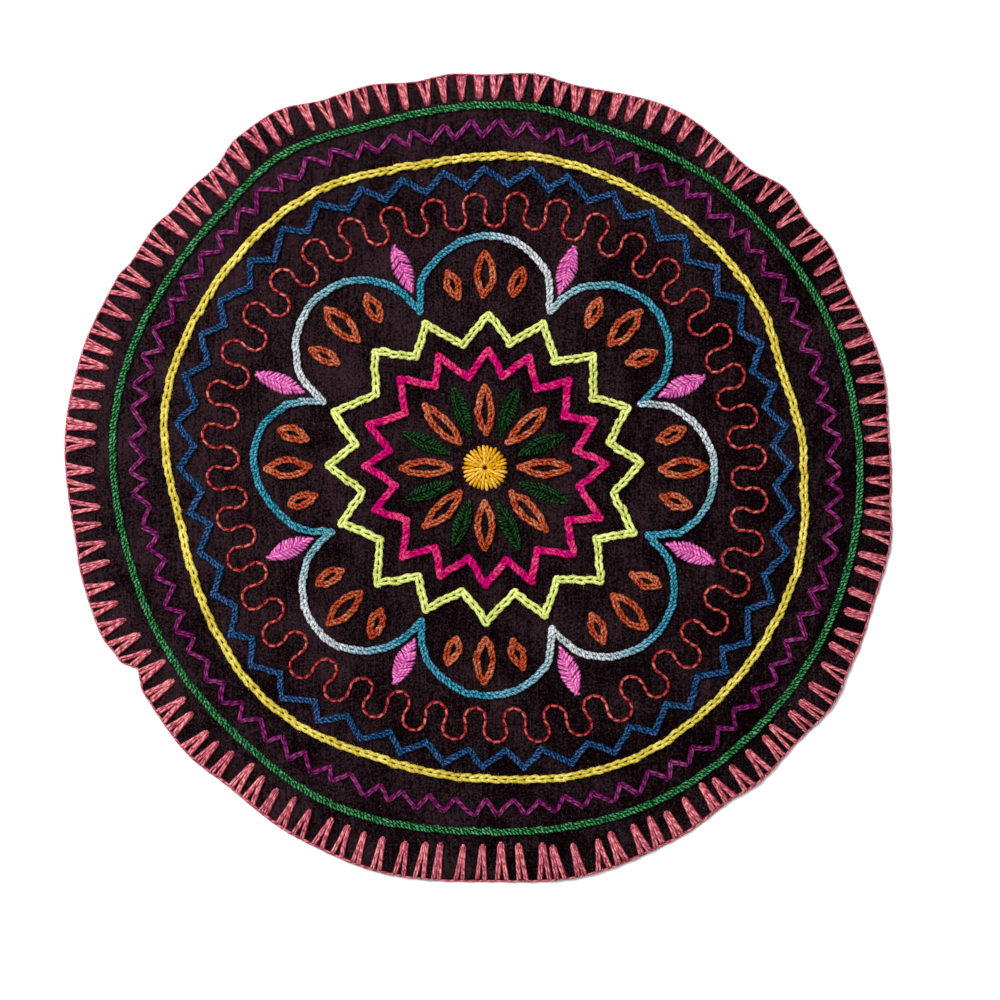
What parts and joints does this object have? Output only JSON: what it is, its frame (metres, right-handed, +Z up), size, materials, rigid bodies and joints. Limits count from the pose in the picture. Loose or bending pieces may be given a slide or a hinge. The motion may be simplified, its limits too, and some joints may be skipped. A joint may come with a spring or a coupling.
{
  "type": "round embroidered rug",
  "caption": "Small round cotton rug with a hand-cut wavy edge, blanket-stitched rim, embroidered border rings and a flower medallion in yarn; lies flat as a mat.",
  "frame": {"origin": "middle of the rug's outline box, on its underside where it rests on the floor", "axes": "+Z up out of the embroidered face; +X to the right and +Y away from the viewer of that face"},
  "size_m": [0.4138, 0.4048, 0.0038],
  "materials": {
    "black_cotton": "matt plain-woven cotton cloth, black with a slight aubergine tint",
    "pink_yarn": "soft two-ply yarn, salmon pink",
    "green_yarn": "lightly lustrous two-ply thread, emerald green",
    "violet_yarn": "soft yarn, violet",
    "yellow_yarn": "soft fuzzy yarn, yellow",
    "blue_yarn": "soft yarn, royal blue",
    "variegated_yarn": "space-dyed yarn that runs from turquoise through pale blue to white",
    "lime_yarn": "soft yarn, pale lime",
    "rose_yarn": "soft yarn, hot pink",
    "red_yarn": "thin yarn, brick red",
    "gold_yarn": "soft yarn, golden yellow",
    "orange_yarn": "soft yarn, burnt orange",
    "dark_green_yarn": "soft yarn, bottle green",
    "bright_pink_yarn": "soft yarn, orchid pink"
  },
  "bodies": {
    "root": {"cloth": "black_cotton", "edge_stitching": "pink_yarn", "green_ring": "green_yarn", "violet_zigzag": "violet_yarn", "yellow_ring": "yellow_yarn", "blue_zigzag": "blue_yarn", "lime_zigzag": "lime_yarn", "rose_zigzag": "rose_yarn", "petal_outline": "variegated_yarn", "red_meander": "red_yarn", "gold_heart": "gold_yarn", "orange_heart_leaf_1": "orange_yarn", "orange_heart_leaf_2": "orange_yarn", "orange_heart_leaf_3": "orange_yarn", "orange_heart_leaf_4": "orange_yarn", "orange_heart_leaf_5": "orange_yarn", "orange_heart_leaf_6": "orange_yarn", "orange_heart_leaf_7": "orange_yarn", "orange_heart_leaf_8": "orange_yarn", "orange_petal_leaf_1": "orange_yarn", "orange_petal_leaf_2": "orange_yarn", "orange_petal_leaf_3": "orange_yarn", "orange_petal_leaf_4": "orange_yarn", "orange_petal_leaf_5": "orange_yarn", "orange_petal_leaf_6": "orange_yarn", "orange_petal_leaf_7": "orange_yarn", "orange_petal_leaf_8": "orange_yarn", "orange_left_leaf_1": "orange_yarn", "orange_left_leaf_2": "orange_yarn", "orange_left_leaf_3": "orange_yarn", "orange_left_leaf_4": "orange_yarn", "orange_left_leaf_5": "orange_yarn", "orange_left_leaf_6": "orange_yarn", "orange_left_leaf_7": "orange_yarn", "orange_left_leaf_8": "orange_yarn", "orange_right_leaf_1": "orange_yarn", "orange_right_leaf_2": "orange_yarn", "orange_right_leaf_3": "orange_yarn", "orange_right_leaf_4": "orange_yarn", "orange_right_leaf_5": "orange_yarn", "orange_right_leaf_6": "orange_yarn", "orange_right_leaf_7": "orange_yarn", "orange_right_leaf_8": "orange_yarn", "green_leaf_1": "dark_green_yarn", "green_leaf_2": "dark_green_yarn", "green_leaf_3": "dark_green_yarn", "green_leaf_4": "dark_green_yarn", "green_leaf_5": "dark_green_yarn", "green_leaf_6": "dark_green_yarn", "green_leaf_7": "dark_green_yarn", "green_leaf_8": "dark_green_yarn", "pink_leaf_1": "bright_pink_yarn", "pink_leaf_2": "bright_pink_yarn", "pink_leaf_3": "bright_pink_yarn", "pink_leaf_4": "bright_pink_yarn", "pink_leaf_5": "bright_pink_yarn", "pink_leaf_6": "bright_pink_yarn", "pink_leaf_7": "bright_pink_yarn", "pink_leaf_8": "bright_pink_yarn"}
  },
  "joints": []
}
